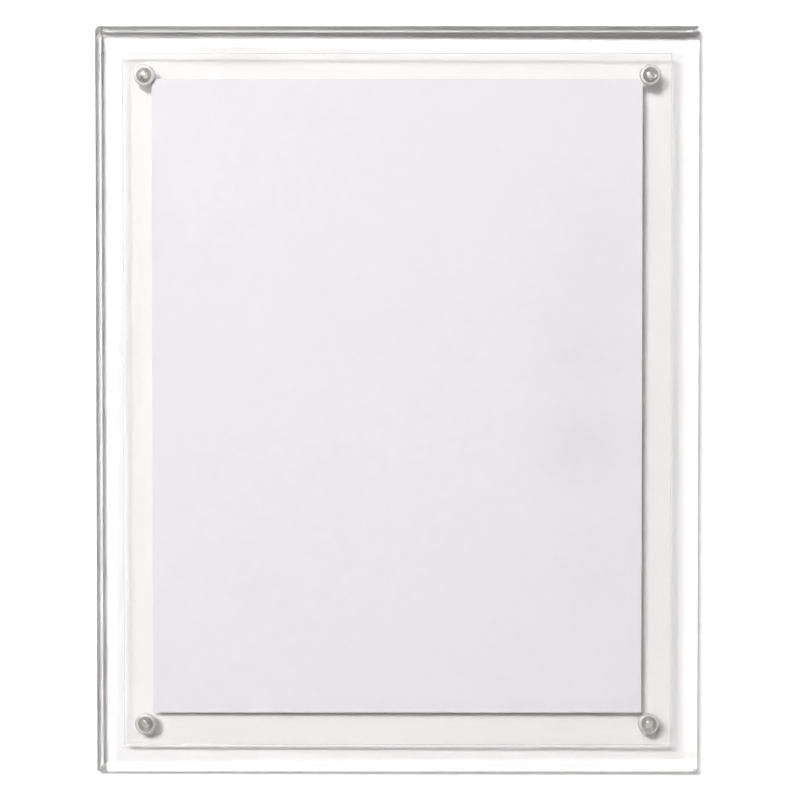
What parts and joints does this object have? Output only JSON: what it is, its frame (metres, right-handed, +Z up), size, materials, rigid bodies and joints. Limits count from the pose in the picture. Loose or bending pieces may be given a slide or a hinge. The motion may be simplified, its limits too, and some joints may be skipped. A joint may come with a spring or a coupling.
{
  "type": "certificate frame",
  "caption": "Clear wall frame for a letter sheet: bevelled back plaque, thinner cover sheet and clear push rivets at the corners.",
  "frame": {"origin": "middle of the plaque's back face, which lies against the wall", "axes": "+Z up the frame's height, -Y out of the front, +X to the viewer's right"},
  "size_m": [0.2666, 0.0111, 0.3302],
  "materials": {
    "clear_acrylic": "polished",
    "clear_nylon": "gloss",
    "paper": "matte"
  },
  "bodies": {
    "plaque": {"back_plaque": "clear_acrylic"},
    "insert": {"insert_sheet": "paper"},
    "cover": {"cover_sheet": "clear_acrylic"},
    "rivet_top_left": {"rivet_body_top_left": "clear_nylon"},
    "rivet_top_right": {"rivet_body_top_right": "clear_nylon"},
    "rivet_bottom_left": {"rivet_body_bottom_left": "clear_nylon"},
    "rivet_bottom_right": {"rivet_body_bottom_right": "clear_nylon"},
    "pin_top_left": {"rivet_pin_top_left": "clear_nylon"},
    "pin_top_right": {"rivet_pin_top_right": "clear_nylon"},
    "pin_bottom_left": {"rivet_pin_bottom_left": "clear_nylon"},
    "pin_bottom_right": {"rivet_pin_bottom_right": "clear_nylon"}
  },
  "joints": [
    {"name": "insert_lift", "type": "slide", "parent": "plaque", "child": "insert", "axis": [0, 0, 1], "range_m": [0, 0.31]},
    {"name": "cover_lift_off", "type": "slide", "parent": "plaque", "child": "cover", "axis": [0, -1, 0], "range_m": [0, 0.02]},
    {"name": "rivet_body_pull_top_left", "type": "slide", "parent": "cover", "child": "rivet_top_left", "axis": [0, -1, 0], "range_m": [0, 0.012]},
    {"name": "rivet_body_pull_top_right", "type": "slide", "parent": "cover", "child": "rivet_top_right", "axis": [0, -1, 0], "range_m": [0, 0.012]},
    {"name": "rivet_body_pull_bottom_left", "type": "slide", "parent": "cover", "child": "rivet_bottom_left", "axis": [0, -1, 0], "range_m": [0, 0.012]},
    {"name": "rivet_body_pull_bottom_right", "type": "slide", "parent": "cover", "child": "rivet_bottom_right", "axis": [0, -1, 0], "range_m": [0, 0.012]},
    {"name": "rivet_pin_pull_top_left", "type": "slide", "parent": "rivet_top_left", "child": "pin_top_left", "axis": [0, -1, 0], "range_m": [0, 0.012]},
    {"name": "rivet_pin_pull_top_right", "type": "slide", "parent": "rivet_top_right", "child": "pin_top_right", "axis": [0, -1, 0], "range_m": [0, 0.012]},
    {"name": "rivet_pin_pull_bottom_left", "type": "slide", "parent": "rivet_bottom_left", "child": "pin_bottom_left", "axis": [0, -1, 0], "range_m": [0, 0.012]},
    {"name": "rivet_pin_pull_bottom_right", "type": "slide", "parent": "rivet_bottom_right", "child": "pin_bottom_right", "axis": [0, -1, 0], "range_m": [0, 0.012]}
  ]
}
